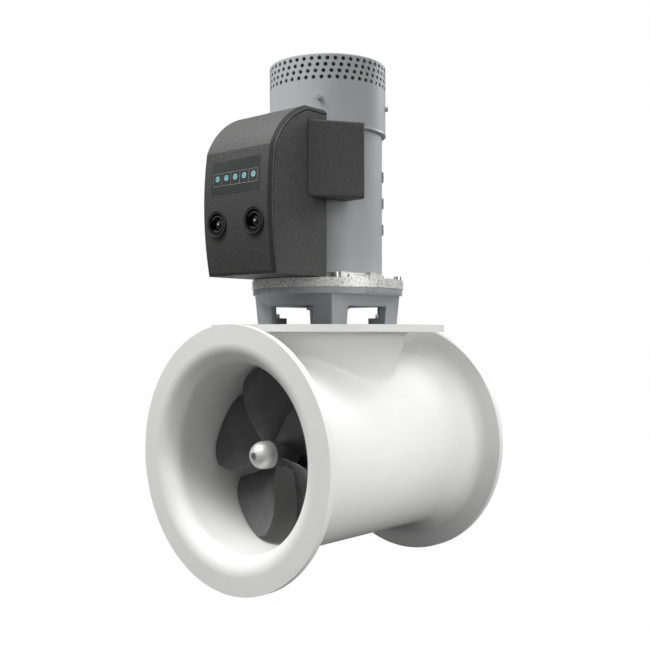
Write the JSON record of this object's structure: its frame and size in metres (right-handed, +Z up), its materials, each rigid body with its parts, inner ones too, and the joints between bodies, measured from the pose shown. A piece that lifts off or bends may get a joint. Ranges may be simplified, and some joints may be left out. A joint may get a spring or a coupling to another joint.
{
  "type": "tunnel thruster",
  "caption": "Electric side thruster for a boat: a flanged tunnel with counter-rotating propellers, a bevel gear leg, an upright motor with a vented top and a control box on its side.",
  "frame": {"origin": "where the tunnel axis crosses the vertical drive axis", "axes": "+Z up along the motor, +Y along the tunnel away from the control box, +X towards the side hood"},
  "size_m": [0.42, 0.46, 0.8629],
  "materials": {
    "white_gelcoat": "white gel coat over moulded glass fibre laminate",
    "black_case_paint": "black painted bronze casting",
    "gasket_fibre": "pressed fibre gasket",
    "stainless_screws": "plain stainless steel",
    "bearing_steel": "ground bearing steel",
    "seal_rubber": "black nitrile rubber",
    "bracket_paint": "dark grey paint on rough cast metal",
    "raw_cast_aluminium": "raw cast aluminium, speckled",
    "grey_motor_paint": "semi-gloss grey paint on steel tube",
    "core_steel": "plain magnet steel",
    "winding_copper": "varnished copper wire",
    "bright_screws": "bright plated steel",
    "carbon": "pressed carbon",
    "holder_brass": "plain brass",
    "cover_plastic": "black moulded plastic with a fine grain",
    "label_film": "printed plastic film without lettering",
    "inner_plastic": "plain dark plastic",
    "socket_plastic": "black glass-filled plastic",
    "stud_steel": "tinned steel stud",
    "board_laminate": "green circuit board laminate",
    "shaft_steel": "ground steel",
    "commutator_copper": "turned copper bars",
    "coupling_metal": "turned aluminium",
    "spider_rubber": "red rubber",
    "anode_zinc": "cast zinc, lightly polished",
    "propeller_plastic": "black moulded composite"
  },
  "bodies": {
    "housing": {"tunnel": "white_gelcoat", "gear_leg": "black_case_paint", "leg_gasket": "gasket_fibre", "leg_screws": "stainless_screws", "front_case_cap": "black_case_paint", "rear_case_cap": "black_case_paint", "case_cap_screws": "stainless_screws", "prop_bearings": "bearing_steel", "bearing_spacers": "bearing_steel", "prop_seals": "seal_rubber", "pinion_bearings": "bearing_steel", "leg_top_seal": "seal_rubber", "motor_bracket": "bracket_paint", "bracket_bolts": "stainless_screws", "adapter_plate": "raw_cast_aluminium", "plate_bolts": "stainless_screws", "lower_end_shield": "raw_cast_aluminium", "motor_yoke": "grey_motor_paint", "pole_shoes": "core_steel", "field_coils": "winding_copper", "pole_screws": "grey_motor_paint", "upper_end_shield": "raw_cast_aluminium", "vent_cover": "grey_motor_paint", "band_screws": "bright_screws", "motor_bearings": "bearing_steel", "brushes": "carbon", "brush_holders": "holder_brass", "control_box_cover": "cover_plastic", "label_plate": "label_film", "control_box_back": "inner_plastic", "cover_screws": "stainless_screws", "power_sockets": "socket_plastic", "terminal_studs": "stud_steel", "contactors": "inner_plastic", "busbars": "holder_brass", "control_board": "board_laminate", "side_hood": "cover_plastic", "motor_terminals": "stud_steel"},
    "armature": {"motor_shaft": "shaft_steel", "armature_core": "core_steel", "armature_winding": "winding_copper", "commutator": "commutator_copper", "motor_coupling": "coupling_metal", "coupling_spider": "spider_rubber", "pinion_coupling": "coupling_metal", "pinion_shaft": "shaft_steel"},
    "front_screw": {"front_crown_gear": "shaft_steel", "front_prop_shaft": "shaft_steel", "front_drive_pin": "shaft_steel", "front_lock_nut": "shaft_steel", "front_anode": "anode_zinc", "front_anode_screw": "stainless_screws", "front_propeller": "propeller_plastic"},
    "rear_screw": {"rear_crown_gear": "shaft_steel", "rear_prop_shaft": "shaft_steel", "rear_drive_pin": "shaft_steel", "rear_lock_nut": "shaft_steel", "rear_anode": "anode_zinc", "rear_anode_screw": "stainless_screws", "rear_propeller": "propeller_plastic"}
  },
  "joints": [
    {"name": "armature_spin", "type": "hinge", "parent": "housing", "child": "armature", "pos_m": [0, 0, 0], "axis": [0, 0, 1], "continuous": true},
    {"name": "front_prop_spin", "type": "hinge", "parent": "housing", "child": "front_screw", "pos_m": [0, 0, 0], "axis": [0, 1, 0], "continuous": true},
    {"name": "rear_prop_spin", "type": "hinge", "parent": "housing", "child": "rear_screw", "pos_m": [0, 0, 0], "axis": [0, 1, 0], "continuous": true}
  ],
  "couplings": [
    {"joint": "front_prop_spin", "follows": "armature_spin", "ratio": 0.52381},
    {"joint": "rear_prop_spin", "follows": "armature_spin", "ratio": -0.52381}
  ]
}
